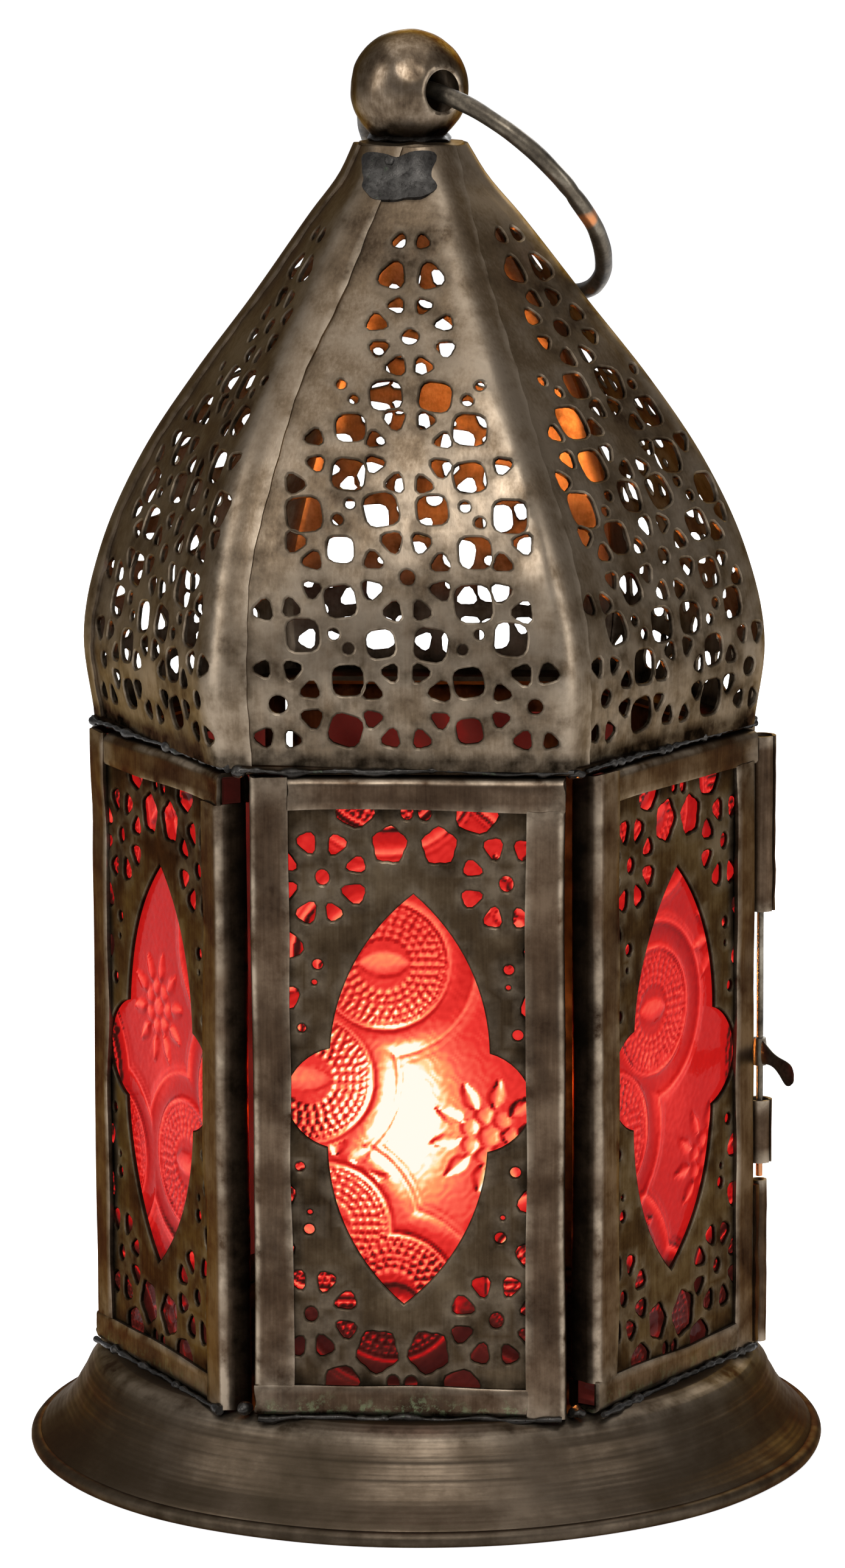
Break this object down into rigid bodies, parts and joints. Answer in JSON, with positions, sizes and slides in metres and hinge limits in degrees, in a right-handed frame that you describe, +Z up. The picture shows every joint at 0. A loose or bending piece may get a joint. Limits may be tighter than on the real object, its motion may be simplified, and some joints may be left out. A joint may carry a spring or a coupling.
{
  "type": "candle lantern",
  "caption": "Hexagonal metal candle lantern with red pressed glass panels behind pierced sheets, a hinged door with a drop bolt, a pierced onion dome, a ball and a carrying ring.",
  "frame": {"origin": "centre of the underside of the foot, on the surface that it stands on", "axes": "+Z up through the dome; the front panel faces -Y; the door is the panel 120 degrees round from the front, towards +X and +Y"},
  "size_m": [0.115, 0.115, 0.2037],
  "materials": {
    "aged_sheet_metal": "dark antique bronze patina on folded sheet, finely brushed, lighter on worn folds",
    "foot_metal": "dark antique bronze patina on spun sheet, turned with fine rings",
    "pressed_glass": "clear red pressed glass with a raised floral relief",
    "coppered_wire": "steel wire, coppered and blackened, copper showing where worn",
    "solder": "dark glossy soft solder, uneven",
    "thin_aluminium": "thin pressed foil cup",
    "wax": "white paraffin wax, softened round the wick",
    "wick": "braided cotton, charred at the tip"
  },
  "bodies": {
    "root": {"ball_collar": "solder", "bolt_keeper": "aged_sheet_metal", "candle_holder": "aged_sheet_metal", "dome_cap": "aged_sheet_metal", "dome_gore_1": "aged_sheet_metal", "dome_gore_2": "aged_sheet_metal", "dome_gore_3": "aged_sheet_metal", "dome_gore_4": "aged_sheet_metal", "dome_gore_5": "aged_sheet_metal", "dome_gore_6": "aged_sheet_metal", "eave_ring": "aged_sheet_metal", "finial_ball": "aged_sheet_metal", "foot_dish": "foot_metal", "foot_rim": "foot_metal", "front_fret": "aged_sheet_metal", "front_glass": "pressed_glass", "front_rail_bottom": "aged_sheet_metal", "front_rail_top": "aged_sheet_metal", "front_stile_left": "aged_sheet_metal", "front_stile_right": "aged_sheet_metal", "hinge_knuckles_frame": "aged_sheet_metal", "hinge_pin": "coppered_wire", "left_front_fret": "aged_sheet_metal", "left_front_glass": "pressed_glass", "left_front_rail_bottom": "aged_sheet_metal", "left_front_rail_top": "aged_sheet_metal", "left_front_stile_left": "aged_sheet_metal", "left_front_stile_right": "aged_sheet_metal", "left_rear_fret": "aged_sheet_metal", "left_rear_glass": "pressed_glass", "left_rear_rail_bottom": "aged_sheet_metal", "left_rear_rail_top": "aged_sheet_metal", "left_rear_stile_left": "aged_sheet_metal", "left_rear_stile_right": "aged_sheet_metal", "rear_fret": "aged_sheet_metal", "rear_glass": "pressed_glass", "rear_rail_bottom": "aged_sheet_metal", "rear_rail_top": "aged_sheet_metal", "rear_stile_left": "aged_sheet_metal", "rear_stile_right": "aged_sheet_metal", "right_front_fret": "aged_sheet_metal", "right_front_glass": "pressed_glass", "right_front_rail_bottom": "aged_sheet_metal", "right_front_rail_top": "aged_sheet_metal", "right_front_stile_left": "aged_sheet_metal", "right_front_stile_right": "aged_sheet_metal"},
    "door": {"door_fret": "aged_sheet_metal", "door_glass": "pressed_glass", "door_rail_bottom": "aged_sheet_metal", "door_rail_top": "aged_sheet_metal", "door_stile_left": "aged_sheet_metal", "door_stile_right": "aged_sheet_metal", "hinge_knuckle_door": "aged_sheet_metal", "bolt_guides": "aged_sheet_metal"},
    "bolt": {"bolt_rod": "coppered_wire", "bolt_tongue": "aged_sheet_metal"},
    "ring": {"carry_ring": "coppered_wire"},
    "tealight": {"tealight_cup": "thin_aluminium", "tealight_wax": "wax", "tealight_wick": "wick"}
  },
  "joints": [
    {"name": "door_hinge", "type": "hinge", "parent": "root", "child": "door", "pos_m": [0.02415, 0.04183, 0.0593], "axis": [0, 0, 1], "range_deg": [0, 115]},
    {"name": "bolt_slide", "type": "slide", "parent": "door", "child": "bolt", "axis": [0, 0, 1], "range_m": [-0.003, 0.008]},
    {"name": "ring_swing", "type": "hinge", "parent": "root", "child": "ring", "pos_m": [-0.0015, 0, 0.1953], "axis": [0.6626, -0.749, 0], "range_deg": [0, 276]},
    {"name": "tealight_lift", "type": "slide", "parent": "root", "child": "tealight", "axis": [0, 0, 1], "range_m": [0, 0.012]}
  ]
}
